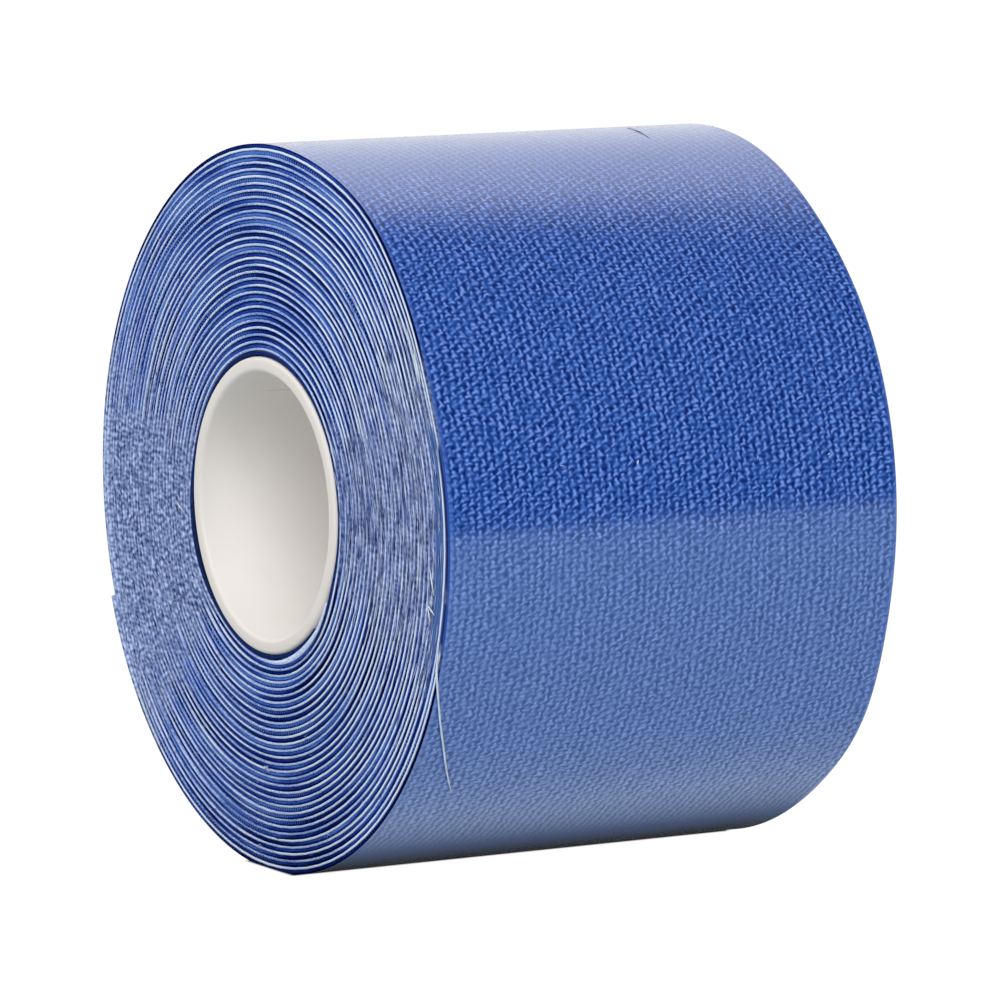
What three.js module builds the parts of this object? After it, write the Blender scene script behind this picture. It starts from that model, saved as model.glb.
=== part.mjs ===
// A roll of elastic adhesive tape: woven cloth on a paper liner, wound on a plain plastic core.
// Millimetres, +Z up. The roll lies on its side with its axis along X, on the flat spot at Z = 0.
// Angles are in degrees, seen from the end at -X: 0 points to -Y, 90 points up.

import * as THREE from 'three';

// Driving dimensions
const TAPE_WIDTH = 50;
const TURN_PITCH = 0.66;
const LOOSE_END_RADIUS = 35.85;
const LOOSE_END_ANGLE = 201;
const FLAT_SPOT_DEPTH = 0.2;
const CORE_RADIUS = 14.55;
const CORE_WALL = 1.5;
const CORE_EDGE_ROUND = 0.4;
const CORE_SHIFT = { y: 0.85, z: 0.1 };
const SEAT_GAP = 0.3;

// How finely the round forms are cut into facets
const ROLL_FACETS = 180;
const HOLE_FACETS = 96;
const CORE_FACETS = 96;
const LENGTH_STEPS = 6;
const ROUND_STEPS = 3;

// Where the wound turns bulge or sink from a true spiral, in mm at each end of the roll
const UNEVEN = [
  { angle: 57, spread: 9, near: 0.6, far: 0 },
  { angle: 24, spread: 8, near: -0.5, far: 0 },
  { angle: 51, spread: 12, near: 0, far: -0.4 },
  { angle: -35, spread: 10, near: 0, far: 0.8 },
];

// Where the first turn stands off the core: a slack crescent, and the wedge behind the inner end
const HOLLOWS = [
  { angle: 212, spread: 20, depth: 0.3 },
  { angle: -44, spread: 11, depth: 0.5 },
];

const FULL_TURN = 360;
const HALF_TURN = 180;
const QUARTER_TURN = 90;
const FRONT = 0;
const BACK = 180;
const BOTTOM = -90;

// Shortest way round from one angle to another, between -180 and 180
function angleBetween(from, to) {
  const apart = THREE.MathUtils.euclideanModulo(to - from, FULL_TURN);
  return apart > HALF_TURN ? apart - FULL_TURN : apart;
}

// A smooth bump of height 1 at its own angle
function bump(angle, row) {
  return Math.exp(-0.5 * (angleBetween(row.angle, angle) / row.spread) ** 2);
}

// The outer turn as a spiral: it sinks by one pitch on the way round from the loose end
function spiralRadius(angle) {
  const sinceEnd = THREE.MathUtils.euclideanModulo(angle - LOOSE_END_ANGLE, FULL_TURN);
  return LOOSE_END_RADIUS - TURN_PITCH * (sinceEnd / FULL_TURN);
}

// How far the turns stand out or in at an angle, from the near end (0) to the far end (1)
function unevenness(angle, along) {
  const parts = UNEVEN.map((row) => bump(angle, row) * THREE.MathUtils.lerp(row.near, row.far, along));
  return parts.reduce((sum, part) => sum + part, 0);
}

function holeRadius(angle) {
  const parts = HOLLOWS.map((row) => bump(angle, row) * row.depth);
  return parts.reduce((sum, part) => sum + part, CORE_RADIUS + SEAT_GAP);
}

// The spiral is centred in Y, and as high as the flat spot leaves it
const AXIS = {
  y: (spiralRadius(FRONT) - spiralRadius(BACK)) / 2,
  z: spiralRadius(BOTTOM) - FLAT_SPOT_DEPTH,
};
const CORE_CENTRE = { y: AXIS.y + CORE_SHIFT.y, z: AXIS.z + CORE_SHIFT.z };

function radiansOf(angle) {
  return THREE.MathUtils.degToRad(angle);
}

// Points of an outline round a centre, drawn in the plane that is then extruded along X
function outline(centre, radiusAt, facets, startAngle) {
  return Array.from({ length: facets }, (_, i) => {
    const angle = startAngle - (FULL_TURN * i) / facets;
    const y = centre.y - radiusAt(angle) * Math.cos(radiansOf(angle));
    const z = centre.z + radiusAt(angle) * Math.sin(radiansOf(angle));
    return new THREE.Vector2(y, z);
  });
}

// Moves the outer wall's points to the uneven form, and presses the lowest ones flat
function settleOuterWall(geometry) {
  const points = geometry.attributes.position;
  const wallStartsAt = (CORE_RADIUS + LOOSE_END_RADIUS) / 2;
  for (let i = 0; i < points.count; i += 1) {
    const [x, y, z] = [points.getX(i), points.getY(i) - AXIS.y, points.getZ(i) - AXIS.z];
    const radius = Math.hypot(y, z);
    if (radius > wallStartsAt) {
      const angle = THREE.MathUtils.radToDeg(Math.atan2(z, -y));
      const along = (x + TAPE_WIDTH / 2) / TAPE_WIDTH;
      const grow = 1 + unevenness(angle, along) / radius;
      points.setY(i, AXIS.y + y * grow);
      points.setZ(i, Math.max(AXIS.z + z * grow, 0));
    }
  }
}

// The wound tape, with the step of its loose end and the hole that the core sits in
function tapeGeometry() {
  const shape = new THREE.Shape(outline(AXIS, spiralRadius, ROLL_FACETS, LOOSE_END_ANGLE));
  shape.holes.push(new THREE.Path(outline(CORE_CENTRE, holeRadius, HOLE_FACETS, FRONT)));
  const geometry = new THREE.ExtrudeGeometry(shape, {
    depth: TAPE_WIDTH,
    steps: LENGTH_STEPS,
    bevelEnabled: false,
  });
  const layOnSide = new THREE.Matrix4().makeBasis(
    new THREE.Vector3(0, 1, 0),
    new THREE.Vector3(0, 0, 1),
    new THREE.Vector3(1, 0, 0),
  );
  geometry.translate(0, 0, -TAPE_WIDTH / 2);
  geometry.applyMatrix4(layOnSide);
  settleOuterWall(geometry);
  return geometry;
}

// One rounded corner of the core's wall, as points of radius and place along the axis
function roundedCorner(radius, along, startAngle) {
  return Array.from({ length: ROUND_STEPS + 1 }, (_, i) => {
    const turn = radiansOf(startAngle + (QUARTER_TURN * i) / ROUND_STEPS);
    return new THREE.Vector2(
      radius + CORE_EDGE_ROUND * Math.cos(turn),
      along + CORE_EDGE_ROUND * Math.sin(turn),
    );
  });
}

// The core is a plain tube as long as the tape is wide, with its edges rounded
function coreGeometry() {
  const outer = CORE_RADIUS - CORE_EDGE_ROUND;
  const inner = CORE_RADIUS - CORE_WALL + CORE_EDGE_ROUND;
  const end = TAPE_WIDTH / 2 - CORE_EDGE_ROUND;
  const section = [
    ...roundedCorner(outer, -end, -QUARTER_TURN),
    ...roundedCorner(outer, end, 0),
    ...roundedCorner(inner, end, QUARTER_TURN),
    ...roundedCorner(inner, -end, HALF_TURN),
  ];
  return new THREE.LatheGeometry([...section, section[0].clone()], CORE_FACETS);
}

function tapeRoll() {
  const cloth = new THREE.MeshStandardMaterial({ color: 0x3f68b4, roughness: 0.85, metalness: 0 });
  const mesh = new THREE.Mesh(tapeGeometry(), cloth);
  mesh.name = 'tape_roll';
  return mesh;
}

function core() {
  const plastic = new THREE.MeshStandardMaterial({ color: 0xe6e0d8, roughness: 0.45, metalness: 0 });
  const mesh = new THREE.Mesh(coreGeometry(), plastic);
  mesh.name = 'core';
  mesh.rotation.z = -Math.PI / 2;
  mesh.position.set(0, CORE_CENTRE.y, CORE_CENTRE.z);
  return mesh;
}

const roll = new THREE.Group();
roll.add(tapeRoll(), core());

export default roll;
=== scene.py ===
# A roll of woven elastic tape on its paper liner, wound on a plastic core and lying on its side.
# Sizes are in millimetres until a mesh is made, and the scene itself is in metres.
# Angles are in degrees, seen from the end at -X: 0 points to -Y, 90 points up.

import math
import random

import bpy
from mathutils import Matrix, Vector, noise


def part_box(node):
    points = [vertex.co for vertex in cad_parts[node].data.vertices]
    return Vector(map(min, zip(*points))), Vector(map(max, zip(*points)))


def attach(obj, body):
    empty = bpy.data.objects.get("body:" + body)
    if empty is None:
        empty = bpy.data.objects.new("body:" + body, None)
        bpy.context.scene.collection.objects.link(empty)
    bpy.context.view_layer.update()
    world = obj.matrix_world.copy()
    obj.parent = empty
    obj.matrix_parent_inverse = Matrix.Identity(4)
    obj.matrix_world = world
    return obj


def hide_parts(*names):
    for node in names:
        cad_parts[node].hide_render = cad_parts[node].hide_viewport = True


MM = 0.001
FULL_TURN = 360.0

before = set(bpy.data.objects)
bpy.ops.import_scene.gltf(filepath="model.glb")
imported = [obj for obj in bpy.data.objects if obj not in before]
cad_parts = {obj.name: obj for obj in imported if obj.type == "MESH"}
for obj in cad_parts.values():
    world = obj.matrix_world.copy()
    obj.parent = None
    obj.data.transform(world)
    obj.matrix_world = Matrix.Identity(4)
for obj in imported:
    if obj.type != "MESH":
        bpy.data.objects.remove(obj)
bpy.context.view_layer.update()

# The tape and its core
TAPE_WIDTH = 50.0
CLOTH_THICKNESS = 0.40
LINER_THICKNESS = 0.22
LINER_GAP = 0.01
LOOSE_END_RADIUS = 35.85
LOOSE_END_ANGLE = 201.0
INNER_END_ANGLE = -48.0
LINER_END_ANGLE = -33.0
WHOLE_TURNS = 31
CORE_WALL = 1.5
CORE_EDGE_ROUND = 0.4
CORE_GAP = 0.05

# How far the core's axis lies from the roll's own axis
CORE_SHIFT_Y = 0.85
CORE_SHIFT_Z = 0.1

# The weave: warp yarns run along the tape and weft yarns across it
WARP_PITCH = 0.8
WEFT_PITCH = 0.463
WARP_YARNS = 62
WEAVE_DEPTH = 0.05
SELVAGE = 0.15

# Where the outer turns bulge or sink from a true spiral, in mm at each end of the roll
UNEVEN = [
    {"angle": 57, "spread": 9, "near": 0.6, "far": 0.0},
    {"angle": 24, "spread": 8, "near": -0.5, "far": 0.0},
    {"angle": 51, "spread": 12, "near": 0.0, "far": -0.4},
    {"angle": -35, "spread": 10, "near": 0.0, "far": 0.8},
]

# Where the first turns stand off the core, and where the second turn stands off the first. It starts at
# this many turns out from the core.
SLACK = [
    {"angle": 200, "spread": 17, "depth": 0.95, "starts": -1.0},
    {"angle": -62, "spread": 17, "depth": 0.55, "starts": 0.85},
]


def lerp(low, high, share):
    return low + (high - low) * share


def smooth_step(low, high, value):
    share = min(max((value - low) / (high - low), 0.0), 1.0)
    return share * share * (3 - 2 * share)


# Shortest way round between two angles, always positive
def angle_apart(a, b):
    return abs((a - b + FULL_TURN / 2) % FULL_TURN - FULL_TURN / 2)


def bump(angle, row):
    return math.exp(-0.5 * (angle_apart(angle, row["angle"]) / row["spread"]) ** 2)


CORE_LOW, CORE_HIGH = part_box("core")
CORE_RADIUS = (CORE_HIGH.y - CORE_LOW.y) / 2 / MM
CORE_CENTRE_Y = (CORE_HIGH.y + CORE_LOW.y) / 2 / MM
CORE_CENTRE_Z = (CORE_HIGH.z + CORE_LOW.z) / 2 / MM
AXIS_Y = CORE_CENTRE_Y - CORE_SHIFT_Y
AXIS_Z = CORE_CENTRE_Z - CORE_SHIFT_Z

# Wound angle is measured from the loose end inwards, up to the inner end at the core
WOUND_ANGLE = FULL_TURN * WHOLE_TURNS + (INNER_END_ANGLE - LOOSE_END_ANGLE) % FULL_TURN
LAYER = CLOTH_THICKNESS + LINER_GAP + LINER_THICKNESS
INNER_END_RADIUS = CORE_RADIUS + CORE_GAP + CLOTH_THICKNESS
TURN_PITCH = (LOOSE_END_RADIUS - INNER_END_RADIUS) / (WOUND_ANGLE / FULL_TURN)
LINER_WOUND_ANGLE = WOUND_ANGLE - FULL_TURN + LINER_END_ANGLE - INNER_END_ANGLE


# The tape's length from the loose end to a wound angle
def arc_length(wound):
    mean_radius = LOOSE_END_RADIUS - TURN_PITCH * wound / FULL_TURN / 2
    return math.radians(wound) * mean_radius


# The first turns lie close on the core and climb over the inner end's edge, the outer ones are a spiral
def climb(turns_out):
    FREE_TURNS = 4.0
    CLIMB_STARTS = 0.93
    whole = math.floor(turns_out)
    stepped = whole + smooth_step(CLIMB_STARTS, 1.0, turns_out - whole)
    hug = math.exp(-turns_out / FREE_TURNS)
    return lerp(turns_out, stepped, hug)


# How far the turns stand out near the core, fading over the next few turns
def slack_depth(angle, turns_out):
    RISES_OVER = 0.15
    FADES_OVER = 3.0
    depth = 0.0
    for row in SLACK:
        starts = smooth_step(row["starts"], row["starts"] + RISES_OVER, turns_out)
        depth += row["depth"] * bump(angle, row) * starts
    return depth * math.exp(-turns_out / FADES_OVER)


# Radius of the cloth's outer face, at a place across the tape's width
def wound_radius(wound, x):
    RIPPLE = 0.09
    RIPPLES_ROUND = 2.2
    RIPPLES_INWARD = 0.22
    CALM_TURNS = 2
    INWARD_FADE = 1.5
    angle = LOOSE_END_ANGLE + wound
    along = x / TAPE_WIDTH + 0.5
    turns_in = wound / FULL_TURN
    turns_out = (WOUND_ANGLE - wound) / FULL_TURN
    outer_share = max(1 - wound / WOUND_ANGLE, 0.0) ** INWARD_FADE
    radius = INNER_END_RADIUS + TURN_PITCH * climb(turns_out)
    radius += outer_share * sum(bump(angle, row) * lerp(row["near"], row["far"], along) for row in UNEVEN)
    radius += slack_depth(angle, turns_out)
    turn = math.radians(angle)
    round_y, round_z = RIPPLES_ROUND * math.cos(turn), RIPPLES_ROUND * math.sin(turn)
    ripple = noise.noise(Vector((round_y, round_z, turns_in * RIPPLES_INWARD + along)))
    calm = smooth_step(0, CALM_TURNS, turns_out) * smooth_step(0, CALM_TURNS, turns_in)
    return radius + RIPPLE * ripple * calm


# A point round an axis that runs along X, in metres
def point_round(centre_y, centre_z, angle, radius, x):
    turn = math.radians(angle)
    return Vector((x, centre_y - radius * math.cos(turn), centre_z + radius * math.sin(turn))) * MM


# A point of the wound tape in metres, some depth under the cloth's outer face and never under the floor
def place(wound, x, depth):
    share = wound / WOUND_ANGLE
    centre_y = lerp(AXIS_Y, CORE_CENTRE_Y, share)
    centre_z = lerp(AXIS_Z, CORE_CENTRE_Z, share)
    radius = wound_radius(wound, x) - depth
    point = point_round(centre_y, centre_z, LOOSE_END_ANGLE + wound, radius, x)
    point.z = max(point.z, 0.0)
    return point


def radial(wound):
    angle = math.radians(LOOSE_END_ANGLE + wound)
    return Vector((0, -math.cos(angle), math.sin(angle)))


# Outward direction of the smooth outer face, with its bulges
def face_normal(wound, x):
    STEP = 1.0
    around = place(wound + STEP, x, 0) - place(wound - STEP, x, 0)
    along = place(wound, x + STEP, 0) - place(wound, x - STEP, 0)
    normal = along.cross(around).normalized()
    return normal if normal.dot(radial(wound)) > 0 else -normal


# How far one end's edge of a turn lies inside the full width
def edge_inset(wound, end):
    MEAN = 0.12
    SWING = 0.14
    WAVES_ROUND = 1.1
    WAVES_INWARD = 0.9
    ENDS_APART = 40
    turn = math.radians(LOOSE_END_ANGLE + wound)
    round_y, round_z = WAVES_ROUND * math.cos(turn), WAVES_ROUND * math.sin(turn)
    where = Vector((round_y, round_z, wound / FULL_TURN * WAVES_INWARD + ENDS_APART * end))
    return max(MEAN + SWING * noise.noise(where), 0.0)


class Ribbon:
    """Points, faces, texture places and normals of a long closed strip, gathered row by row."""

    def __init__(self):
        self.points = []
        self.faces = []
        self.uvs = []
        self.normals = []
        self.slots = []

    def add_point(self, point):
        self.points.append(point)
        return len(self.points) - 1

    # Takes the corners clockwise, seen from outside
    def add_face(self, corners, slot):
        corners = corners[::-1]
        self.faces.append([corner[0] for corner in corners])
        self.uvs.extend(corner[1] for corner in corners)
        self.normals.extend(corner[2] for corner in corners)
        self.slots.append(slot)


def mesh_object(name, points, faces, materials, slots=None):
    mesh = bpy.data.meshes.new(name)
    mesh.from_pydata(points, [], faces)
    for material in materials:
        mesh.materials.append(material)
    if slots:
        mesh.polygons.foreach_set("material_index", slots)
    mesh.polygons.foreach_set("use_smooth", [True] * len(faces))
    mesh.update()
    piece = bpy.data.objects.new(name, mesh)
    bpy.context.scene.collection.objects.link(piece)
    return piece


def ribbon_object(name, ribbon, materials):
    piece = mesh_object(name, ribbon.points, ribbon.faces, materials, ribbon.slots)
    layer = piece.data.uv_layers.new(name="ribbon")
    layer.data.foreach_set("uv", [value for uv in ribbon.uvs for value in uv])
    piece.data.normals_split_custom_set(ribbon.normals)
    return piece


OUTER_FACE = "outer face"
INNER_FACE = "inner face"
NEAR_EDGE = "near edge"
FAR_EDGE = "far edge"
END_SIGN = {NEAR_EDGE: -1, FAR_EDGE: 1}

# The rounded edge of a strip from its outer face to its inner face: shares of the rounding and thickness
EDGE_SHAPE = [(1.0, 0.0), (0.3, 0.22), (0.0, 0.5), (0.3, 0.78), (1.0, 1.0)]
EDGE_POINTS = len(EDGE_SHAPE)

# The two strips that are wound together
CLOTH_STRIP = {
    "thickness": CLOTH_THICKNESS,
    "under": 0.0,
    "round_in": 0.12,
    "ends_at": WOUND_ANGLE,
    "woven_until": FULL_TURN + 3,
    "fold": 0.0,
}
LINER_STRIP = {
    "thickness": LINER_THICKNESS,
    "under": CLOTH_THICKNESS + LINER_GAP,
    "round_in": 0.03,
    "ends_at": LINER_WOUND_ANGLE,
    "woven_until": 0.0,
    "fold": 0.4,
}
STEPS_EACH_TURN = 84

# The liner is folded over at its inner end, so it shows thicker there
LINER_FOLD = {"angle": -62, "spread": 14}


def strip_thickness(strip, wound):
    FOLD_TURNS = 0.4
    turns_from_end = (strip["ends_at"] - wound) / FULL_TURN
    if turns_from_end > FOLD_TURNS:
        return strip["thickness"]
    return strip["thickness"] + strip["fold"] * bump(LOOSE_END_ANGLE + wound, LINER_FOLD)


# A row of the strip: its points round the section, each with its place across the edge or face
def section_row(ribbon, strip, wound, woven):
    near = -TAPE_WIDTH / 2 + edge_inset(wound, 0)
    far = TAPE_WIDTH / 2 - edge_inset(wound, 1)
    thickness = strip_thickness(strip, wound)
    row = []

    def put(x, depth, across):
        point = place(wound, x, strip["under"] + depth)
        row.append({"index": ribbon.add_point(point), "x": x, "across": across})

    for inset, share in EDGE_SHAPE:
        put(near + strip["round_in"] * inset, thickness * share, 0.5 - share)
    for inset, share in reversed(EDGE_SHAPE):
        put(far - strip["round_in"] * inset, thickness * share, 0.5 - share)
    if woven:
        for yarn in range(WARP_YARNS, -1, -1):
            x = lerp(near + SELVAGE, far - SELVAGE, yarn / WARP_YARNS)
            put(x, crossing_depth(wound, yarn), 0.5)
            row[-1]["yarn"] = yarn
    return row


# How far the yarn on top of a crossing lies under the smooth outer face
def crossing_depth(wound, yarn):
    SHARE = 0.3
    NOISE_SCALE = 0.8
    NOISE_LAYER = 7.0
    where = Vector((arc_length(wound) / WEFT_PITCH * NOISE_SCALE, yarn * NOISE_SCALE, NOISE_LAYER))
    return WEAVE_DEPTH * SHARE * (0.5 + 0.5 * noise.noise(where))


# How far the gap in the middle of a woven cell lies under the outer face: every second gap is deep
def gap_depth(length, x, is_deep):
    SHALLOW_SHARE = 0.5
    SWING = 0.4
    NOISE_SCALE = 3
    NOISE_LAYER = 3.0
    share = 1.0 if is_deep else SHALLOW_SHARE
    where = Vector((length * NOISE_SCALE, x * NOISE_SCALE, NOISE_LAYER))
    return WEAVE_DEPTH * share * (1 + SWING * noise.noise(where))


# The part of the section that the face after point k belongs to
def zone_of(k):
    if k < EDGE_POINTS - 1:
        return NEAR_EDGE
    if k == EDGE_POINTS - 1:
        return INNER_FACE
    if k < 2 * EDGE_POINTS - 1:
        return FAR_EDGE
    return OUTER_FACE


# A face corner: the point, its texture place and its normal, which swings by the lean over a cut edge
def corner(item, zone, length, normals):
    EDGE_LEAN = math.radians(70)
    if zone in END_SIGN:
        lean = item["across"] * EDGE_LEAN
        sideways = Vector((END_SIGN[zone], 0, 0)) * math.cos(lean)
        return item["index"], (length * MM, item["across"] * MM), sideways + normals["out"] * math.sin(lean)
    normal = normals["face"](item["x"])
    if zone == INNER_FACE:
        normal = -normal
    return item["index"], (length * MM, item["x"] * MM), normal


# The normals of a row: straight out from the axis, and the outer face's at each place across the width
def row_normals(wound):
    ends = [face_normal(wound, side * TAPE_WIDTH / 2) for side in (-1, 0, 1)]

    def at(x):
        share = x / TAPE_WIDTH * 2
        if share < 0:
            return ends[1].lerp(ends[0], -share).normalized()
        return ends[1].lerp(ends[2], share).normalized()

    return {"out": radial(wound), "face": at}


# The four corners between one pair of points in a row and the same pair in the next row
def cell_corners(first, second, k, zone):
    after = (k + 1) % len(first["row"])
    picks = [(first, k), (first, after), (second, after), (second, k)]
    return [corner(line["row"][i], zone, line["length"], line["normals"]) for line, i in picks]


# Joins two rows of the same kind all round the section
def join_rows(ribbon, first, second, slot_of):
    count = len(first["row"])
    for k in range(count):
        zone = zone_of(k)
        corners = cell_corners(first, second, k, zone)
        if "yarn" in first["row"][k] and "yarn" in first["row"][(k + 1) % count]:
            add_woven_cell(ribbon, corners, first, second, k, slot_of[zone])
        else:
            ribbon.add_face(corners, slot_of[zone])


# A cell between four yarn crossings, with a sunk point in its middle
def add_woven_cell(ribbon, corners, first, second, k, slot):
    a, b = first["row"][k], first["row"][k + 1]
    x = (a["x"] + b["x"]) / 2
    wound = (first["wound"] + second["wound"]) / 2
    length = (first["length"] + second["length"]) / 2
    is_deep = (a["yarn"] + first["number"]) % 2 == 0
    point = place(wound, x, gap_depth(length, x, is_deep))
    middle = {"index": ribbon.add_point(point), "x": x}
    gap = corner(middle, OUTER_FACE, length, first["normals"])
    for i, here in enumerate(corners):
        ribbon.add_face([here, corners[(i + 1) % len(corners)], gap], slot)


# Joins the last woven row to a plain one: round the edges and the inner face, then over the woven end
def join_to_plain(ribbon, woven, plain, slot_of):
    last = 2 * EDGE_POINTS - 1
    for k in range(last):
        zone = zone_of(k)
        ribbon.add_face(cell_corners(woven, plain, k, zone), slot_of[zone])
    outline = [*woven["row"][last:], woven["row"][0], plain["row"][0], plain["row"][last]]
    close_outline(ribbon, outline, woven["normals"]["out"], woven["length"], slot_of[OUTER_FACE])


# Closes a flat outline with one face
def close_outline(ribbon, items, direction, length, slot):
    corners = [(item["index"], (length * MM, item["across"] * MM), direction) for item in items]
    ribbon.add_face(corners, slot)


# Wound angles of the rows: one for each weft yarn where it is woven, and wide steps further in
def row_angles(strip):
    angles = [0.0]
    while angles[-1] < strip["woven_until"]:
        radius = LOOSE_END_RADIUS - TURN_PITCH * angles[-1] / FULL_TURN
        angles.append(angles[-1] + math.degrees(WEFT_PITCH / radius))
    woven_rows = len(angles) if strip["woven_until"] else 0
    start = angles[-1]
    rest = strip["ends_at"] - start
    steps = round(rest / FULL_TURN * STEPS_EACH_TURN)
    angles.extend(start + rest * (i + 1) / steps for i in range(steps))
    return angles, woven_rows


# Which way the strip's own end looks at a wound angle
def end_direction(wound, forward):
    here, there = place(wound, 0, 0), place(wound + forward, 0, 0)
    return (there - here).normalized()


def wind_ribbon(strip, slot_of):
    ribbon = Ribbon()
    angles, woven_rows = row_angles(strip)
    last = None
    for number, wound in enumerate(angles):
        this = {
            "number": number,
            "wound": wound,
            "length": arc_length(wound),
            "normals": row_normals(wound),
            "row": section_row(ribbon, strip, wound, number < woven_rows),
        }
        if last is None:
            close_outline(ribbon, this["row"][::-1], end_direction(wound, -1), 0, slot_of[NEAR_EDGE])
        elif len(last["row"]) > len(this["row"]):
            join_to_plain(ribbon, last, this, slot_of)
        else:
            join_rows(ribbon, last, this, slot_of)
        last = this
    close_outline(ribbon, last["row"], end_direction(last["wound"], 1), last["length"], slot_of[NEAR_EDGE])
    return ribbon


class Nodes:
    """Adds nodes to a material or world and links them by their inputs."""

    def __init__(self, tree):
        self.tree = tree
        tree.nodes.clear()

    def add(self, kind, inputs=None, **settings):
        node = self.tree.nodes.new(kind)
        for name, value in settings.items():
            setattr(node, name, value)
        for name, value in (inputs or {}).items():
            socket = node.inputs[name]
            if isinstance(value, bpy.types.NodeSocket):
                self.tree.links.new(value, socket)
            else:
                socket.default_value = value
        return node

    def math(self, operation, a, b=0.0, c=0.0):
        return self.add("ShaderNodeMath", {0: a, 1: b, 2: c}, operation=operation).outputs[0]

    def times(self, a, b):
        return self.math("MULTIPLY", a, b)

    def total(self, first, *others):
        for other in others:
            first = self.math("ADD", first, other)
        return first

    def mix(self, share, a, b):
        return self.add("ShaderNodeMix", {0: share, 2: a, 3: b}, data_type="FLOAT").outputs[0]

    def mix_colour(self, share, a, b):
        node = self.add("ShaderNodeMix", {0: share, 6: a, 7: b}, data_type="RGBA")
        return node.outputs[2]

    def noise(self, vector, scale, detail=2.0, rough=0.5, output="Fac"):
        inputs = {"Vector": vector, "Scale": scale, "Detail": detail, "Roughness": rough}
        return self.add("ShaderNodeTexNoise", inputs).outputs[output]

    # Three noises in one, as sockets for X, Y and Z
    def three_noises(self, vector, *shape):
        return self.split(self.noise(vector, *shape, output="Color"))

    def object_place(self):
        return self.add("ShaderNodeTexCoord").outputs["Object"]

    def split(self, vector):
        return self.add("ShaderNodeSeparateXYZ", {0: vector}).outputs

    def vector(self, x, y, z=0.0):
        return self.add("ShaderNodeCombineXYZ", {0: x, 1: y, 2: z}).outputs[0]

    def ramp(self, value, stops):
        node = self.add("ShaderNodeValToRGB", {0: value})
        while len(node.color_ramp.elements) < len(stops):
            node.color_ramp.elements.new(0.5)
        for element, (position, colour) in zip(node.color_ramp.elements, stops):
            element.position = position
            element.color = (*colour, 1)
        return node.outputs[0]

    def span(self, value, low, high, to_low=0.0, to_high=1.0, smooth=False):
        inputs = {0: value, 1: low, 2: high, 3: to_low, 4: to_high}
        kind = "SMOOTHSTEP" if smooth else "LINEAR"
        return self.add("ShaderNodeMapRange", inputs, interpolation_type=kind).outputs[0]

    # What a measure adds to a tone
    def tone(self, value, row):
        return self.span(value, *row["range"], *row["tones"])

    # A noise from 0 to 1 as a swing to both sides of a middle value
    def swing(self, value, size, middle=0.0):
        return self.span(value, 0, 1, middle - size, middle + size)


def new_material(name):
    material = bpy.data.materials.new(name)
    material.use_nodes = True
    return material, Nodes(material.node_tree)


def finish_material(nodes, inputs):
    shader = nodes.add("ShaderNodeBsdfPrincipled", inputs)
    nodes.add("ShaderNodeOutputMaterial", {"Surface": shader.outputs[0]})


# The strip's own texture place in mm: how far along the tape, and how far across it
def strip_place(nodes):
    uv = nodes.split(nodes.add("ShaderNodeUVMap", uv_map="ribbon").outputs[0])
    along = nodes.math("DIVIDE", uv[0], MM)
    across = nodes.math("DIVIDE", uv[1], MM)
    return along, across


# Waves that add up to the weave: how often each repeats per warp and per weft yarn, its share of the
# height, and the angle it starts at. All of them are low together in one deep pit beside every second
# crossing, and the tops between the pits lean one way with the yarns' twist.
# The strength of each wave comes and goes over the cloth, with one of three noises.
WEAVE_WAVES = [
    {"warp": 1.0, "weft": 0.0, "share": 0.42, "starts": 175, "varies": 0},
    {"warp": 0.5, "weft": -0.5, "share": 0.28, "starts": -135, "varies": 1},
    {"warp": 0.0, "weft": 1.0, "share": 0.20, "starts": 150, "varies": 2},
    {"warp": 0.5, "weft": 0.5, "share": 0.14, "starts": -140, "varies": 0},
    {"warp": 1.0, "weft": -1.0, "share": 0.15, "starts": 50, "varies": 1},
    {"warp": 1.5, "weft": -0.5, "share": 0.15, "starts": 150, "varies": 2},
    {"warp": 1.5, "weft": 0.5, "share": 0.14, "starts": -25, "varies": 0},
]


# The height of cloth that is neither a pit nor a top
MIDDLE = 0.5


def cosine(nodes, turns, starts):
    angle = nodes.math("MULTIPLY_ADD", turns, 2 * math.pi, math.radians(starts))
    return nodes.math("COSINE", angle)


# Height of the waves alone: pits lie lower, and the tops of the yarns higher
def weave_height(nodes, warp, weft, strengths):
    total = MIDDLE
    for wave in WEAVE_WAVES:
        turns = nodes.math("MULTIPLY_ADD", warp, wave["warp"], nodes.times(weft, wave["weft"]))
        swing = nodes.times(cosine(nodes, turns, wave["starts"]), strengths[wave["varies"]])
        total = nodes.math("MULTIPLY_ADD", swing, wave["share"] / 2, total)
    return total


# Yarn counts across and along the strip. The yarns bend a little as the cloth is stretched unevenly,
# and each one wobbles, the weft yarns more than the warp yarns.
def yarn_counts(nodes, along, across):
    HALF_CELL = 0.5
    BEND_ROUGHNESS = 0.6
    BENDS = [
        {"scale": 0.13, "detail": 4.0, "warp": 1.0, "weft": 1.4},
        {"scale": 1.2, "detail": 0.0, "warp": 0.25, "weft": 0.35},
    ]
    warp = nodes.math("MULTIPLY_ADD", across, 1 / WARP_PITCH, HALF_CELL)
    weft = nodes.math("MULTIPLY_ADD", along, 1 / WEFT_PITCH, HALF_CELL)
    place_on_face = nodes.vector(along, across)
    for bend in BENDS:
        noises = nodes.three_noises(place_on_face, bend["scale"], bend["detail"], BEND_ROUGHNESS)
        warp = nodes.math("ADD", warp, nodes.swing(noises[0], bend["warp"]))
        weft = nodes.math("ADD", weft, nodes.swing(noises[1], bend["weft"]))
    return warp, weft


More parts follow.
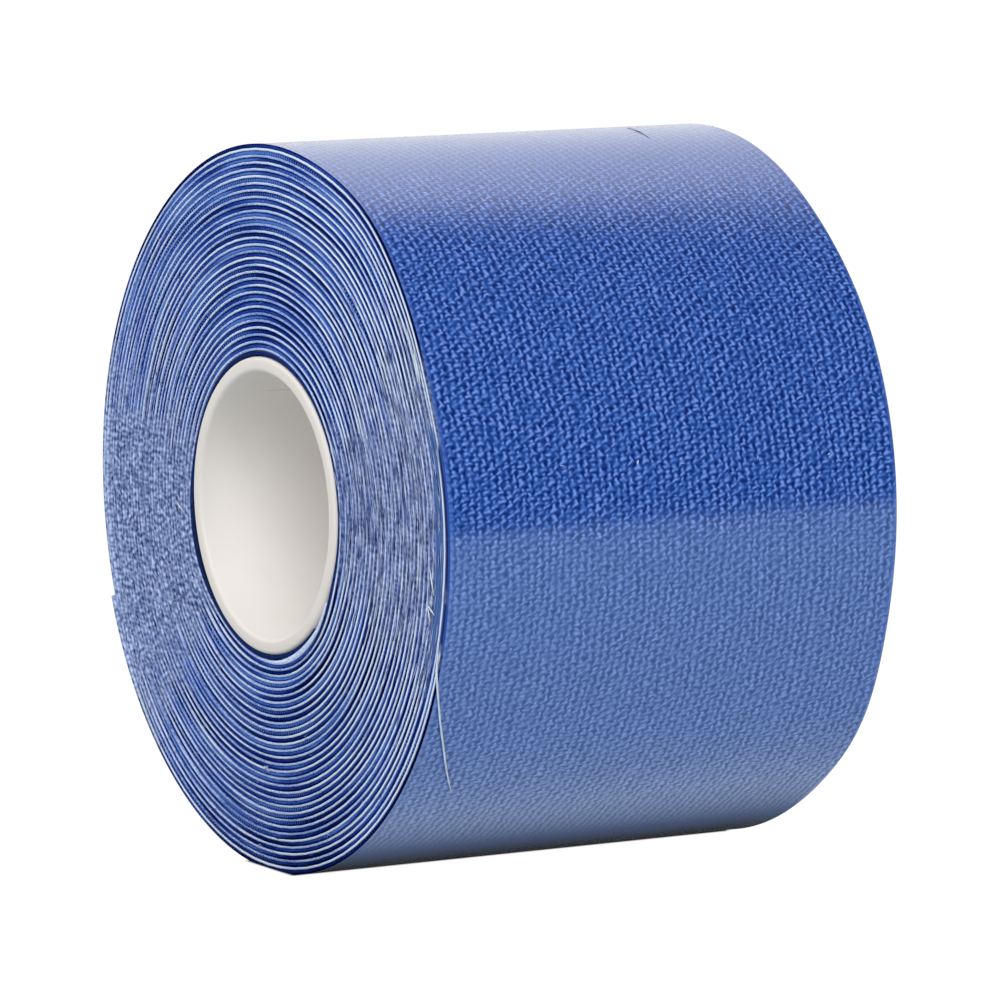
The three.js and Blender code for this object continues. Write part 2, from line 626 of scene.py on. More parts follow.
# Height of the cloth over its middle: the waves of the weave, with lumps in the yarns and loose hairs
def woven_height(nodes, along, across, warp, weft):
    STRENGTH = {"scale": 0.85, "layer": 5.0, "swing": 1.5}
    LUMPS = {"scale": 2.4, "layer": 9.0, "swing": 0.32}
    HAIRS = {"scale": 4.0, "stretch": 0.6, "swing": 0.15}
    ROUGHNESS = 0.6
    parts = nodes.three_noises(nodes.vector(along, across, STRENGTH["layer"]), STRENGTH["scale"], 1.0)
    strengths = [nodes.swing(part, STRENGTH["swing"], 1.0) for part in parts]
    lumps = nodes.noise(nodes.vector(along, across, LUMPS["layer"]), LUMPS["scale"], 2.0, ROUGHNESS)
    stretched = nodes.vector(along, nodes.times(across, HAIRS["stretch"]))
    hairs = nodes.noise(stretched, HAIRS["scale"], 2.0, ROUGHNESS)
    height = nodes.total(
        weave_height(nodes, warp, weft, strengths),
        nodes.swing(lumps, LUMPS["swing"]),
        nodes.swing(hairs, HAIRS["swing"]),
    )
    return nodes.math("SUBTRACT", height, MIDDLE)


# Stretches of the outer turn where the weave's height, colour contrast and bump are lowered: painted light,
# where
# reflections of the floor and of the bright back wash the weave out. Each has the share of its height that
# is lost:
# at the front below the middle, near the floor, and on top. The first two also get a painted pale
# reflection.
PAINTED_WASH = {
    "front": {"from": 40, "to": 100, "fade": 3, "loses": 0.38},
    "low": {"from": 26, "to": 66, "fade": 8, "loses": 0.43},
    "top": {"from": 139, "to": 163, "fade": 6, "loses": 0.5},
}
PAINTED_REFLECTION = {
    "front": {"share": 0.13, "colour": (0.13, 0.29, 0.49)},
    "low": {"share": 0.30, "colour": (0.245, 0.285, 0.39)},
}

# Near the floor the warp yarns stand out as lines, by this much of the height
WARP_LINES = 0.15


def painted_wash_mask(nodes, along, row):
    starts = nodes.span(along, row["from"] - row["fade"], row["from"] + row["fade"], 0, 1, True)
    ends = nodes.span(along, row["to"] - row["fade"], row["to"] + row["fade"], 1, 0, True)
    return nodes.times(starts, ends)


# The outer face of the cloth: its colour follows the weave's height, dark in the pits and pale on the tops,
# partly the yarns' own colour and partly painted shade in the pits and a painted sheen on the tops. A shine
# lies on the tops at the front.
def woven_cloth():
    PIT, TOP = 0.3, 0.6
    SHINE_IN_PITS, SHINE_ON_TOPS = 0.5, 1.4
    RIM = {"starts": 0.75, "full": 0.35, "share": 0.6, "colour": (0.07, 0.16, 0.58, 1)}
    material, nodes = new_material("woven_cloth")
    along, across = strip_place(nodes)
    masks = {name: painted_wash_mask(nodes, along, row) for name, row in PAINTED_WASH.items()}
    # Painted light: the weave's height is cut where reflections wash it out
    relief_share = 1.0
    for name, row in PAINTED_WASH.items():
        relief_share = nodes.math("MULTIPLY_ADD", masks[name], -row["loses"], relief_share)
    warp, weft = yarn_counts(nodes, along, across)
    height = woven_height(nodes, along, across, warp, weft)
    height = nodes.math("MULTIPLY_ADD", height, relief_share, MIDDLE)
    lines_here = nodes.times(masks["low"], WARP_LINES)
    lines = cosine(nodes, warp, WEAVE_WAVES[0]["starts"])
    height = nodes.math("MULTIPLY_ADD", lines, lines_here, height)
    shine = nodes.mix(masks["front"], 1.0, nodes.span(height, PIT, TOP, SHINE_IN_PITS, SHINE_ON_TOPS))
    # Painted shade darkens the pits and a painted sheen whitens the highest tops
    colour = nodes.ramp(height, [
        (0.10, (0.002, 0.018, 0.15)),
        (0.42, (0.020, 0.083, 0.38)),
        (0.68, (0.072, 0.178, 0.60)),
        (0.95, (0.210, 0.350, 0.88)),
    ])
    half = TAPE_WIDTH / 2
    from_middle = nodes.math("ABSOLUTE", across)
    edge = nodes.span(from_middle, half - RIM["starts"], half - RIM["full"], 0, RIM["share"], True)
    colour = nodes.mix_colour(edge, colour, RIM["colour"])
    # Painted reflection: the front and the low part are mixed towards a pale greyish blue for the floor's
    # reflection
    for name, row in PAINTED_REFLECTION.items():
        share = nodes.times(masks[name], row["share"])
        colour = nodes.mix_colour(share, colour, (*row["colour"], 1))
    relief = nodes.add("ShaderNodeBump", {"Strength": 0.5, "Distance": 0.1 * MM, "Height": height})
    finish_material(nodes, {
        "Base Color": colour,
        "Roughness": 0.9,
        "Specular IOR Level": 0.0,
        "Normal": relief.outputs[0],
        "Sheen Weight": 0.3,
        "Sheen Roughness": 0.4,
        "Coat Weight": shine,
        "Coat Roughness": 0.13,
        "Coat IOR": 1.75,
    })
    return material


# The sectors of a cut end where the edges are rubbed to fuzz: their middle, the cosines of the angles
# from it at which the fuzz starts and is full, and how much it covers
RUBBED_SECTORS = [
    {"angle": 5, "starts": 0.86, "full": 0.97, "covers": 0.52},
    {"angle": 193, "starts": 0.80, "full": 0.95, "covers": 0.95},
]

# The edges are paler from this radius outwards where they are rubbed
RUBBED_PALE_FROM = 31.0

# The dark turn beside the core starts at this place along the tape, and the outer turn ends at the other,
# both over a short stretch
FIRST_TURN_STARTS = arc_length(WOUND_ANGLE - FULL_TURN)
OUTER_TURN_ENDS = arc_length(FULL_TURN)
TURN_BLENDS_OVER = 2
OUTER_TURN_FADES = (OUTER_TURN_ENDS - TURN_BLENDS_OVER, OUTER_TURN_ENDS)

# Where the outer turns have slipped at the front, and the radius in mm at which each layer of their
# edges starts there: a smooth strip, the gap outside it, and the rim
SLIPPED = {"angle": 1, "starts": 0.92, "full": 0.965}
SLIPPED_LAYERS = {"strip": 32.9, "gap": 34.2, "rim": 34.7}


# Place on a cut end in mm from the roll's axis, how nearly it is straight above or below the axis, and
# the masks that the edges' colours follow there
def end_place(nodes):
    RAGGED_SCALE = 0.35
    RAGGED_SWING = 0.12
    where = nodes.split(nodes.object_place())
    out = nodes.math("MULTIPLY_ADD", where[1], 1 / MM, -AXIS_Y)
    up = nodes.math("MULTIPLY_ADD", where[2], 1 / MM, -AXIS_Z)
    place_on_end = nodes.vector(out, up)
    radius = nodes.add("ShaderNodeVectorMath", {0: place_on_end}, operation="LENGTH").outputs["Value"]
    ragged = nodes.swing(nodes.noise(place_on_end, RAGGED_SCALE), RAGGED_SWING)
    upright = nodes.math("DIVIDE", nodes.math("ABSOLUTE", up), radius)

    def nearness(angle):
        toward = (-math.cos(math.radians(angle)), math.sin(math.radians(angle)), 0.0)
        dot = nodes.add("ShaderNodeVectorMath", {0: place_on_end, 1: toward}, operation="DOT_PRODUCT")
        return nodes.math("ADD", nodes.math("DIVIDE", dot.outputs["Value"], radius), ragged)

    fuzz = 0.0
    for row in RUBBED_SECTORS:
        there = nodes.span(nearness(row["angle"]), row["starts"], row["full"], 0, row["covers"], True)
        fuzz = nodes.math("MAXIMUM", fuzz, there)
    slipped = nodes.span(nearness(SLIPPED["angle"]), SLIPPED["starts"], SLIPPED["full"], 0, 1, True)
    return {
        "place": place_on_end,
        "out": out,
        "up": up,
        "radius": radius,
        "upright": upright,
        "fuzz": fuzz,
        "slipped": slipped,
    }


# Colours the edges of the outer turns where they have slipped. The strip is a smooth blue.
def add_slipped_turns(nodes, end, colour, gap, rim):
    BLUR = 0.05
    seen = {"strip": (0.075, 0.155, 0.40, 1), "gap": gap, "rim": rim}
    for name, starts in SLIPPED_LAYERS.items():
        there = nodes.span(end["radius"], starts - BLUR, starts + BLUR)
        colour = nodes.mix_colour(nodes.times(there, end["slipped"]), colour, seen[name])
    return colour


# Rubbed fibre: short soft curls over pale and dark patches, all wider across than high
def rubbed_flecks(nodes, end, stops):
    SQUEEZE = (0.6, 1.0, 1.0)
    PATCH_SCALE = 0.4
    PATCH_SWING = 0.14
    CURL_SCALE = 2.5
    RIM_PALER = 0.12
    squeeze = nodes.add("ShaderNodeVectorMath", {0: end["place"], 1: SQUEEZE}, operation="MULTIPLY")
    flat = squeeze.outputs[0]
    patches = nodes.swing(nodes.noise(flat, PATCH_SCALE), PATCH_SWING)
    curls = nodes.noise(flat, CURL_SCALE, 0.0)
    pale = nodes.span(end["radius"], RUBBED_PALE_FROM, LOOSE_END_RADIUS, 0, RIM_PALER)
    return nodes.ramp(nodes.total(curls, patches, pale), stops)


# A noise that changes only along the tape. Each layer is another noise.
def noise_along(nodes, along, scale, layer):
    return nodes.noise(nodes.vector(along, 0.0, layer), scale)


# What makes the cut edge darker or lighter: the range of each measure, and the tones at its two ends
CUT_TONES = {
    "yarn end": {"range": (0.25, 0.75), "tones": (-0.25, 0.35)},
    "stretch": {"range": (0.35, 0.65), "tones": (-0.25, 0.45)},
    "ladder": {"range": (0.52, 0.62), "tones": (0.0, 0.4)},
    # Painted shade: the outer turn's cut edge is darkened for the shade on its curling edge
    "outer turn": {"range": OUTER_TURN_FADES, "tones": (-0.35, 0)},
    "top": {"range": (10, 30), "tones": (0, 0.18)},
}


# The cut edge: dark beside the liner, partly from the hairy yarn ends and partly as painted shade of the
# crevice between the turns, and lighter in the middle, uneven from yarn to yarn and from one stretch to the
# next, laddered in places, darker on the outer turn as painted shade, and lighter towards the top
def cut_cloth():
    LIGHT_CENTRE = -0.1
    DARK_FROM, LIGHT_WITHIN, LIGHT_TONE = 0.55, 0.1, 0.45
    YARN_ENDS = {"scale": 2.2, "detail": 3.0, "rough": 0.7}
    FLATTER = 2.0
    material, nodes = new_material("cut_cloth")
    along, across = strip_place(nodes)
    end = end_place(nodes)
    # Painted shade: the edge darkens towards the liner on both sides, where the crevice between turns is
    # shaded
    from_light = nodes.math("ABSOLUTE", nodes.math("SUBTRACT", across, LIGHT_CENTRE))
    light = nodes.span(from_light, DARK_FROM, LIGHT_WITHIN, 0, LIGHT_TONE, True)
    ends = nodes.noise(nodes.vector(along, nodes.times(across, FLATTER)), **YARN_ENDS)
    stretches = noise_along(nodes, along, 0.06, 3.0)
    rungs = nodes.math("COSINE", nodes.times(along, 2 * math.pi / WEFT_PITCH))
    laddered = noise_along(nodes, along, 0.05, 8.0)
    tone = nodes.total(
        light,
        nodes.tone(ends, CUT_TONES["yarn end"]),
        nodes.tone(stretches, CUT_TONES["stretch"]),
        nodes.times(rungs, nodes.tone(laddered, CUT_TONES["ladder"])),
        nodes.tone(along, CUT_TONES["outer turn"]),
        nodes.tone(end["up"], CUT_TONES["top"]),
    )
    lines = nodes.ramp(tone, [
        (0.0, (0.0008, 0.003, 0.04)),
        (0.35, (0.002, 0.011, 0.12)),
        (0.70, (0.015, 0.060, 0.36)),
        (1.0, (0.10, 0.22, 0.58)),
    ])
    rubbed = rubbed_flecks(nodes, end, [
        (0.26, (0.033, 0.06, 0.19)),
        (0.48, (0.165, 0.24, 0.46)),
        (0.72, (0.40, 0.48, 0.76)),
    ])
    first_turn = nodes.span(along, FIRST_TURN_STARTS - TURN_BLENDS_OVER, FIRST_TURN_STARTS)
    fuzz = nodes.times(end["fuzz"], nodes.span(first_turn, 0, 1, 1, 0))
    dark = nodes.ramp(ends, [(0.35, (0.003, 0.008, 0.05)), (0.7, (0.02, 0.05, 0.23))])
    colour = nodes.mix_colour(fuzz, nodes.mix_colour(first_turn, lines, dark), rubbed)
    colour = add_slipped_turns(nodes, end, colour, (0.06, 0.12, 0.36, 1), (0.03, 0.08, 0.36, 1))
    relief = nodes.add("ShaderNodeBump", {"Strength": 0.6, "Distance": 0.1 * MM, "Height": ends})
    finish_material(nodes, {
        "Base Color": colour,
        "Roughness": 0.95,
        "Specular IOR Level": 0.0,
        "Normal": relief.outputs[0],
    })
    return material


# The same for the liner's edge
LINER_TONES = {
    "stretch": {"range": (0.35, 0.65), "tones": (-0.18, 0.10)},
    "upright": {"range": (0.60, 0.98), "tones": (0.10, -0.04)},
    "back": {"range": (-30, 30), "tones": (0.14, -0.06)},
    "outer turn": {"range": OUTER_TURN_FADES, "tones": (0.15, 0)},
}


# The liner's edge is bluish white, darker straight above and below the axis and at the back, and lighter on
# the outer turn
def liner_paper():
    material, nodes = new_material("liner_paper")
    along, across = strip_place(nodes)
    end = end_place(nodes)
    grain = nodes.noise(nodes.vector(along, across), 2.6, 3.0, 0.65)
    stretches = noise_along(nodes, along, 0.08, 6.0)
    tone = nodes.total(
        grain,
        nodes.tone(stretches, LINER_TONES["stretch"]),
        nodes.tone(end["upright"], LINER_TONES["upright"]),
        nodes.tone(end["out"], LINER_TONES["back"]),
        nodes.tone(along, LINER_TONES["outer turn"]),
    )
    clean = nodes.ramp(tone, [
        (0.24, (0.05, 0.11, 0.42)),
        (0.36, (0.24, 0.36, 0.80)),
        (0.64, (0.74, 0.83, 1.0)),
    ])
    rubbed = rubbed_flecks(nodes, end, [
        (0.26, (0.065, 0.11, 0.29)),
        (0.48, (0.25, 0.335, 0.58)),
        (0.72, (0.58, 0.67, 0.94)),
    ])
    colour = nodes.mix_colour(end["fuzz"], clean, rubbed)
    colour = add_slipped_turns(nodes, end, colour, (0.78, 0.84, 1.0, 1), (0.004, 0.012, 0.08, 1))
    finish_material(nodes, {
        "Base Color": colour,
        "Roughness": 0.6,
        "Specular IOR Level": 0.3,
    })
    return material


# Painted shade: the sticky side of the cloth is near black, standing in for the shade in the gap beside the
# core, the only place where it is seen
def shaded_cloth_back():
    material, nodes = new_material("shaded_cloth_back")
    along, across = strip_place(nodes)
    waves = nodes.noise(nodes.vector(nodes.times(along, 0.2), across), 0.8, 2.0)
    finish_material(nodes, {
        "Base Color": nodes.ramp(waves, [(0.35, (0.003, 0.009, 0.05)), (0.65, (0.008, 0.02, 0.10))]),
        "Roughness": 0.5,
        "Specular IOR Level": 0.2,
    })
    return material


# The core is a little darker and warmer on its cut ends
def core_plastic():
    MOTTLE_SCALE = 60.0
    GRAIN_SCALE = 2500.0
    CUT_STARTS, CUT_FULL = 0.4 * MM, 0.1 * MM
    material, nodes = new_material("core_plastic")
    where = nodes.object_place()
    mottle = nodes.noise(where, MOTTLE_SCALE, 3.0)
    fine = nodes.noise(where, GRAIN_SCALE, 2.0)
    colour = nodes.ramp(mottle, [(0.3, (0.825, 0.785, 0.755)), (0.7, (0.875, 0.84, 0.81))])
    end = TAPE_WIDTH / 2 * MM
    from_middle = nodes.math("ABSOLUTE", nodes.split(where)[0])
    is_cut = nodes.span(from_middle, end - CUT_STARTS, end - CUT_FULL, 0, 1, True)
    colour = nodes.mix_colour(is_cut, colour, (0.82, 0.76, 0.715, 1))
    relief = nodes.add("ShaderNodeBump", {"Strength": 0.15, "Distance": 0.05 * MM, "Height": fine})
    finish_material(nodes, {
        "Base Color": colour,
        "Roughness": 0.42,
        "Specular IOR Level": 0.4,
        "Normal": relief.outputs[0],
    })
    return material


# One colour, a little darker in places
def plain_fibre(name, colour):
    SHADE_SCALE = 900.0
    DARK_SHARE = 0.8
    material, nodes = new_material(name)
    where = nodes.object_place()
    shade = nodes.noise(where, SHADE_SCALE, 1.0)
    dark = tuple(DARK_SHARE * part for part in colour)
    tint = nodes.ramp(shade, [(0.35, dark), (0.65, colour)])
    finish_material(nodes, {"Base Color": tint, "Roughness": 0.9, "Specular IOR Level": 0.2})
    return material


# The core's section: points of radius and place along X, round its four rounded corners
def core_section():
    ROUND_STEPS = 5
    outer = CORE_RADIUS - CORE_EDGE_ROUND
    inner = CORE_RADIUS - CORE_WALL + CORE_EDGE_ROUND
    end = TAPE_WIDTH / 2 - CORE_EDGE_ROUND
    centres = [(outer, end, 0), (inner, end, 90), (inner, -end, 180), (outer, -end, 270)]
    section = []
    for radius, x, start in centres:
        for i in range(ROUND_STEPS + 1):
            turn = math.radians(start + 90 * i / ROUND_STEPS)
            out, along = CORE_EDGE_ROUND * math.cos(turn), CORE_EDGE_ROUND * math.sin(turn)
            section.append((radius + out, x + along))
    return section


def build_core(material):
    FACETS = 160
    section = core_section()
    count = len(section)
    points = []
    for i in range(FACETS):
        angle = FULL_TURN * i / FACETS
        points.extend(point_round(CORE_CENTRE_Y, CORE_CENTRE_Z, angle, radius, x) for radius, x in section)
    faces = []
    for i in range(FACETS):
        here, there = i * count, (i + 1) % FACETS * count
        for k in range(count):
            after = (k + 1) % count
            faces.append([here + k, here + after, there + after, there + k])
    return mesh_object("core_tube", points, faces, [material])


class Fibres:
    """Many small closed fibres, gathered into one mesh."""

    def __init__(self, seed):
        self.dice = random.Random(seed)
        self.points = []
        self.faces = []
        self.slots = []

    # Adds one fibre with three sides, thinner at its ends
    def add(self, path, radius, slot):
        SIDES = 3
        TIP_SHARE = 0.35
        first = len(self.points)
        for i, point in enumerate(path):
            ahead = path[min(i + 1, len(path) - 1)] - path[max(i - 1, 0)]
            side = ahead.orthogonal().normalized()
            other = ahead.cross(side).normalized()
            thin = TIP_SHARE if i in (0, len(path) - 1) else 1.0
            for k in range(SIDES):
                turn = 2 * math.pi * k / SIDES
                spoke = side * math.cos(turn) + other * math.sin(turn)
                self.points.append(point + spoke * radius * thin * MM)
        for i in range(len(path) - 1):
            for k in range(SIDES):
                a, b = first + i * SIDES + k, first + i * SIDES + (k + 1) % SIDES
                self.faces.append([a, b, b + SIDES, a + SIDES])
                self.slots.append(slot)
        last = first + (len(path) - 1) * SIDES
        self.faces.append([first + 2, first + 1, first])
        self.faces.append([last, last + 1, last + 2])
        self.slots.extend([slot, slot])


# The fibres' materials, in the order of their slots
FIBRE_COLOURS = {
    "pale_fibre": (0.42, 0.50, 0.80),
    "blue_fibre": (0.12, 0.19, 0.48),
    "dark_fibre": (0.02, 0.04, 0.18),
    "white_fibre": (0.82, 0.90, 1.0),
}

# Fuzz on the cut ends: its sectors, with how many fibres each end gets there and their size in mm
FUZZ_SECTORS = [
    {"angle": 193, "spread": 22, "count": 1500, "length": 0.6, "wander": 0.4, "radius": 0.045},
    {"angle": 5, "spread": 18, "count": 1500, "length": 1.8, "wander": 0.12, "radius": 0.045},
    {"angle": 90, "spread": 60, "count": 150, "length": 0.7, "wander": 0.2, "radius": 0.022},
    {"angle": -90, "spread": 60, "count": 150, "length": 0.7, "wander": 0.2, "radius": 0.022},
]
PALE, BLUE, DARK, WHITE = 0, 1, 2, 3


# Lays short fibres on one end, along the turns. The inner turns get fewer of them.
def add_fuzz(fibres, end, sector):
    FIRST_TURN = 2
    LAST_TURNS = 1.5
    LIFT = 0.12
    PATH_POINTS = 3
    KIND_SHARES = {PALE: 0.5, BLUE: 0.35, DARK: 0.15}
    dice = fibres.dice
    sign = -1 if end == 0 else 1
    for _ in range(sector["count"]):
        angle = dice.gauss(sector["angle"], sector["spread"])
        turn = dice.randrange(FIRST_TURN, WHOLE_TURNS)
        wound = (angle - LOOSE_END_ANGLE) % FULL_TURN + FULL_TURN * turn
        radius = LOOSE_END_RADIUS - TURN_PITCH * wound / FULL_TURN
        if wound > WOUND_ANGLE - LAST_TURNS * FULL_TURN or dice.random() > radius / LOOSE_END_RADIUS:
            continue
        step = math.degrees(sector["length"] * dice.uniform(0.6, 1.4) / radius) / (PATH_POINTS - 1)
        depth = dice.uniform(0, LAYER)
        path = []
        for i in range(PATH_POINTS):
            depth += dice.uniform(-1, 1) * sector["wander"]
            x = sign * (TAPE_WIDTH / 2 - edge_inset(wound, end) + dice.uniform(0.0, LIFT))
            path.append(place(wound + i * step, x, depth))
        kind = dice.choices(list(KIND_SHARES), list(KIND_SHARES.values()))[0]
        fibres.add(path, sector["radius"] * dice.uniform(0.6, 1.3), kind)


def build_fuzz(materials):
    fibres = Fibres(11)
    for end in (0, 1):
        for sector in FUZZ_SECTORS:
            add_fuzz(fibres, end, sector)
    return mesh_object("edge_fuzz", fibres.points, fibres.faces, materials, fibres.slots)


# Bits that lie on the near end, each from one angle and radius to another: scraps of liner, knots and
# loose fibres
END_BITS = [
    {"from": (32.0, 34.3), "to": (26.4, 33.8), "thick": 0.17, "kind": WHITE},
    {"from": (31.6, 34.0), "to": (26.8, 33.5), "thick": 0.17, "kind": WHITE},
    {"from": (36.0, 34.1), "to": (31.5, 34.0), "thick": 0.09, "kind": WHITE},
    {"from": (-3.8, 32.1), "to": (-8.0, 33.1), "thick": 0.13, "kind": WHITE},
    {"from": (-10.0, 32.1), "to": (-11.0, 33.5), "thick": 0.12, "kind": WHITE},
    {"from": (-10.0, 32.1), "to": (-12.8, 32.9), "thick": 0.12, "kind": WHITE},
    {"from": (-90.6, 25.9), "to": (-90.0, 25.4), "thick": 0.22, "kind": PALE},
    {"from": (-91.4, 25.5), "to": (-89.4, 25.9), "thick": 0.12, "kind": WHITE},
    {"from": (-175.9, 19.0), "to": (-172.2, 17.4), "thick": 0.09, "kind": WHITE},
    {"from": (-174.6, 19.1), "to": (-171.5, 18.3), "thick": 0.06, "kind": DARK},
]

# Fibres and specks on the wall, each from one angle and place along X to another
WALL_BITS = [
    {"from": (89.4, 15.7), "to": (79.9, 14.7), "thick": 0.05, "kind": DARK},
    {"from": (11.6, -12.5), "to": (11.4, -12.0), "thick": 0.08, "kind": PALE},
    {"from": (10.9, -4.1), "to": (11.5, -3.9), "thick": 0.09, "kind": WHITE},
    {"from": (10.6, 0.6), "to": (10.5, 1.2), "thick": 0.07, "kind": PALE},
    {"from": (10.3, 9.2), "to": (10.9, 9.4), "thick": 0.08, "kind": PALE},
    {"from": (10.2, 17.2), "to": (10.5, 17.5), "thick": 0.07, "kind": WHITE},
]

# The pale thread that has come loose at the near rim and lies over the wall: the angle, place along X and
# lift of its points
LOOSE_THREAD = [
    (-15.0, -25.1, -0.6),
    (-19.0, -25.3, 0.05),
    (-22.0, -24.9, 0.2),
    (-27.4, -23.9, 0.3),
    (-32.7, -22.6, 0.3),
    (-37.6, -21.3, 0.35),
    (-42.9, -19.6, 0.5),
]
THREAD_RADIUS = 0.12

# Two scuffs along the bore's wall, each from one angle round the core and place along X to another
BORE_SCUFFS = [
    {"from": (128.8, -20.1), "to": (128.8, -6.7), "thick": 0.05},
    {"from": (130.6, -12.5), "to": (130.6, -8.0), "thick": 0.04},
]


# A point on the near end, by its angle and radius round the roll's axis
def place_on_near_end(angle, radius):
    LIFT = 0.05
    return point_round(AXIS_Y, AXIS_Z, angle, radius, -TAPE_WIDTH / 2 - LIFT)


# A point over the outer turn
def place_on_wall(angle, x, lift):
    return place((angle - LOOSE_END_ANGLE) % FULL_TURN, x, -lift)


# A point on the bore's wall, by its angle round the core's axis
def place_in_bore(angle, x):
    return point_round(CORE_CENTRE_Y, CORE_CENTRE_Z, angle, CORE_RADIUS - CORE_WALL, x)


# The path of a bit from its first place to its last, with place_at to turn its two numbers into a point
def bit_path(bit, place_at):
    path = []
    for share in (0.0, 0.5, 1.0):
        between = [lerp(first, last, share) for first, last in zip(bit["from"], bit["to"])]
        path.append(place_at(*between))
    return path


def build_scuffs(material):
    scuffs = Fibres(7)
    for bit in BORE_SCUFFS:
        scuffs.add(bit_path(bit, place_in_bore), bit["thick"], 0)
    return mesh_object("bore_scuffs", scuffs.points, scuffs.faces, [material], scuffs.slots)


def build_loose_fibres(materials):
    fibres = Fibres(5)
    fibres.add([place_on_wall(*point) for point in LOOSE_THREAD], THREAD_RADIUS, WHITE)
    for bit in END_BITS:
        fibres.add(bit_path(bit, place_on_near_end), bit["thick"], bit["kind"])
    for bit in WALL_BITS:
        lift = bit["thick"] / 2
        path = bit_path(bit, lambda angle, x: place_on_wall(angle, x, lift))
        fibres.add(path, bit["thick"], bit["kind"])
    return mesh_object("loose_fibres", fibres.points, fibres.faces, materials, fibres.slots)


# Floor and light. The floor's places are in mm, and the key light's distance and size in metres.
FLOOR_FRONT = -540.0
FLOOR_BACK = 3500.0
FLOOR_SIDE = 3000.0
FLOOR_TONE = 0.05
FLOOR_GLOW = 0.69
CONTACT_DARK = 11.0
CONTACT_BRIGHT = 21.0
CONTACT_LINE = 4.8
CONTACT_FADE = 0.4
FLOOR_SEEN = 1.0
WORLD_SEEN = 1.05
KEY_DIRECTION = (-0.45, -0.72, 0.65)
KEY_DISTANCE = 1.4
KEY_SIZE = 0.9
KEY_POWER = 12.5

# The world's glow by direction: a bright back, a softer near end, and a strong light in line with the far
# end, which shines through the core. Each grows along one axis (0 is X, 1 is Y). The rest is very dim.
WORLD_GLOWS = [
    {"axis": 1, "starts": -0.05, "full": 0.47, "glow": 1.15},
    {"axis": 0, "starts": 0.0, "full": -0.5, "glow": 0.50},
    {"axis": 0, "starts": 0.86, "full": 0.95, "glow": 4.0},
]
DIM_GLOW = 0.02


# How much painted contact shadow a place on the floor gets, in a thin line under the roll: it fades out
# both at the roll's side and past its ends
def painted_contact_shadow(nodes, from_axis, from_middle):
    shares = []
    for distance, reach in [(from_axis, CONTACT_LINE), (from_middle, TAPE_WIDTH / 2)]:
        starts, ends = (reach - CONTACT_FADE) * MM, (reach + CONTACT_FADE) * MM
        shares.append(nodes.span(distance, starts, ends, 1, 0, True))
    return nodes.times(*shares)


# The floor is seen plain white up to a thin painted contact shadow under the roll. It lights the roll from
# below, less and less towards the contact, where its fading glow is a painted shadow of the roll.
def build_floor():
    GLOW_TINT = (0.88, 1.0, 1.03, 1)
    WHITE_TINT = (1, 1, 1, 1)
    material, nodes = new_material("white_floor")
    where = nodes.split(nodes.object_place())
    distance = nodes.math("ABSOLUTE", where[1])
    glow = nodes.span(distance, CONTACT_DARK * MM, CONTACT_BRIGHT * MM, 0, FLOOR_GLOW, True)
    is_camera = nodes.add("ShaderNodeLightPath").outputs["Is Camera Ray"]
    painted_shadow = painted_contact_shadow(nodes, distance, nodes.math("ABSOLUTE", where[0]))
    seen = nodes.mix(painted_shadow, FLOOR_SEEN, 0.0)
    strength = nodes.mix(is_camera, glow, seen)
    finish_material(nodes, {
        "Base Color": (FLOOR_TONE, FLOOR_TONE, FLOOR_TONE, 1),
        "Roughness": 0.9,
        "Specular IOR Level": 0.0,
        "Emission Color": nodes.mix_colour(is_camera, GLOW_TINT, WHITE_TINT),
        "Emission Strength": strength,
    })
    xs = (-FLOOR_SIDE, FLOOR_SIDE, FLOOR_SIDE, -FLOOR_SIDE)
    ys = (FLOOR_FRONT, FLOOR_FRONT, FLOOR_BACK, FLOOR_BACK)
    points = [Vector((x, y, 0)) * MM for x, y in zip(xs, ys)]
    mesh_object("floor", points, [[0, 1, 2, 3]], [material])


# The camera sees plain white, and the roll is lit by the glows
def build_world():
    world = bpy.data.worlds.new("studio")
    bpy.context.scene.world = world
    world.use_nodes = True
    nodes = Nodes(world.node_tree)
    direction = nodes.split(nodes.add("ShaderNodeTexCoord").outputs["Generated"])
    glow = 0.0
    for row in WORLD_GLOWS:
        part = nodes.span(direction[row["axis"]], row["starts"], row["full"], 0.0, row["glow"], True)
        glow = nodes.math("MAXIMUM", glow, part)
    glow = nodes.math("ADD", glow, DIM_GLOW)
    is_camera = nodes.add("ShaderNodeLightPath").outputs["Is Camera Ray"]
    strength = nodes.mix(is_camera, glow, WORLD_SEEN)
    shader = nodes.add("ShaderNodeBackground", {"Color": (1, 1, 1, 1), "Strength": strength})
    nodes.add("ShaderNodeOutputWorld", {"Surface": shader.outputs[0]})


def add_area_light(name, direction, distance, size, power):
    light = bpy.data.lights.new(name, "AREA")
    light.shape = "DISK"
    light.size = size
    light.energy = power
    holder = bpy.data.objects.new(name, light)
    bpy.context.scene.collection.objects.link(holder)
    toward = Vector(direction).normalized()
    holder.location = Vector((0, 0, AXIS_Z * MM)) + toward * distance
    holder.rotation_euler = toward.to_track_quat("Z", "Y").to_euler()


# The camera, fitted to the outlines of both ends in the photo. Its target and distance are in mm.
CAMERA_TARGET = Vector((1.19, 0.075, 34.59))
CAMERA_DISTANCE = 717.6
CAMERA_AZIMUTH = -30.265
CAMERA_ELEVATION = 7.411
CAMERA_LENS = 261.0


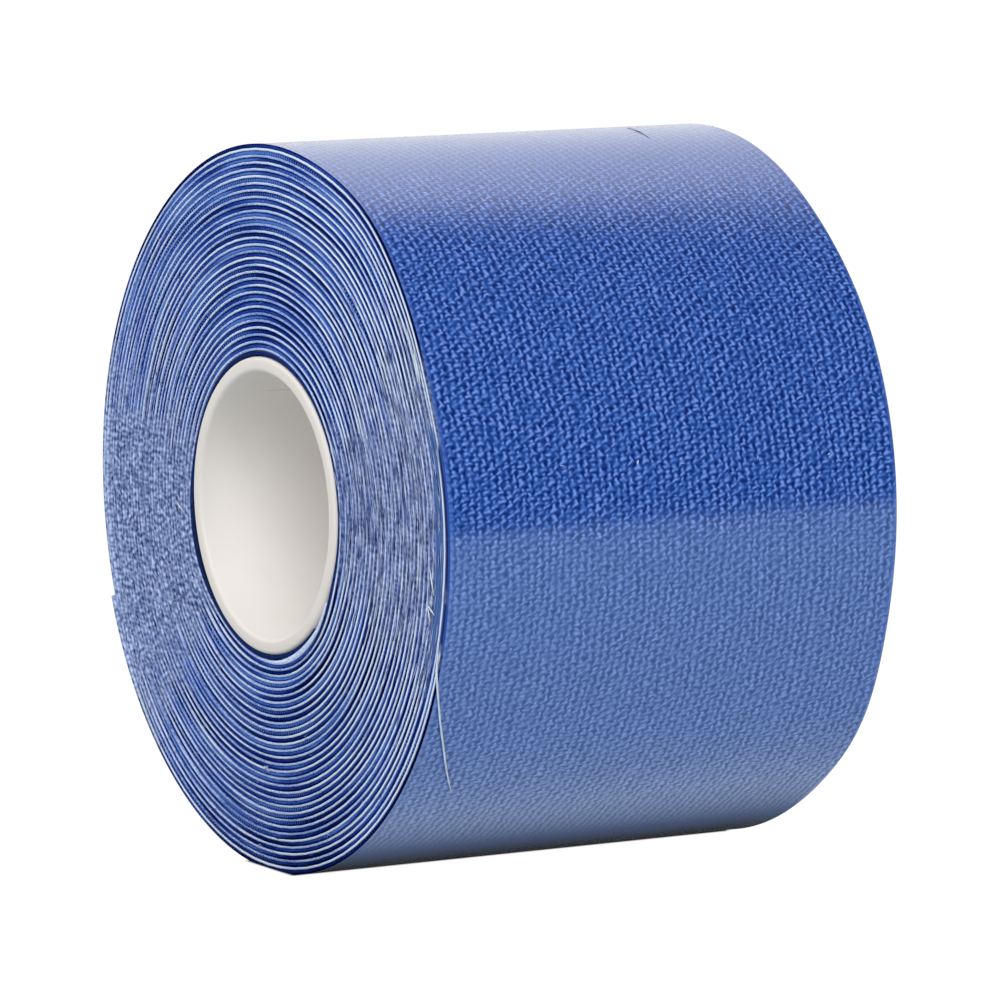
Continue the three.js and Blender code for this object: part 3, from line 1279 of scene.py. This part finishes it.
def build_camera():
    azimuth = math.radians(CAMERA_AZIMUTH)
    elevation = math.radians(CAMERA_ELEVATION)
    level = math.cos(elevation)
    back = Vector((math.sin(azimuth) * level, -math.cos(azimuth) * level, math.sin(elevation)))
    data = bpy.data.cameras.new("camera")
    data.lens = CAMERA_LENS
    data.sensor_width = 36
    data.clip_start = 0.01
    camera = bpy.data.objects.new("camera", data)
    camera.location = (CAMERA_TARGET + back * CAMERA_DISTANCE) * MM
    camera.rotation_euler = back.to_track_quat("Z", "Y").to_euler()
    bpy.context.scene.collection.objects.link(camera)
    bpy.context.scene.camera = camera


def build_tape():
    weave, cut, back, paper = woven_cloth(), cut_cloth(), shaded_cloth_back(), liner_paper()
    cloth_slots = {OUTER_FACE: 0, INNER_FACE: 2, NEAR_EDGE: 1, FAR_EDGE: 1}
    paper_slots = {OUTER_FACE: 0, INNER_FACE: 0, NEAR_EDGE: 0, FAR_EDGE: 0}
    cloth = ribbon_object("tape_cloth", wind_ribbon(CLOTH_STRIP, cloth_slots), [weave, cut, back])
    liner = ribbon_object("tape_liner", wind_ribbon(LINER_STRIP, paper_slots), [paper])
    return cloth, liner


def main():
    bpy.context.scene.view_settings.view_transform = "Standard"
    build_camera()
    build_world()
    build_floor()
    add_area_light("key", KEY_DIRECTION, KEY_DISTANCE, KEY_SIZE, KEY_POWER)
    cloth, liner = build_tape()
    plastic = core_plastic()
    core = build_core(plastic)
    scuffs = build_scuffs(plain_fibre("scuffed_plastic", (0.62, 0.58, 0.55)))
    fibre_materials = [plain_fibre(name, colour) for name, colour in FIBRE_COLOURS.items()]
    fuzz = build_fuzz(fibre_materials)
    loose = build_loose_fibres(fibre_materials)
    for piece, slot in [
        (cloth, "tape_cloth"),
        (liner, "liner_paper"),
        (core, "core_plastic"),
        (scuffs, "core_plastic"),
        (fuzz, "tape_cloth"),
        (loose, "tape_cloth"),
    ]:
        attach(piece, "root")
    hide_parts("tape_roll")
    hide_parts("tape_roll")
    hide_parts("core")


main()
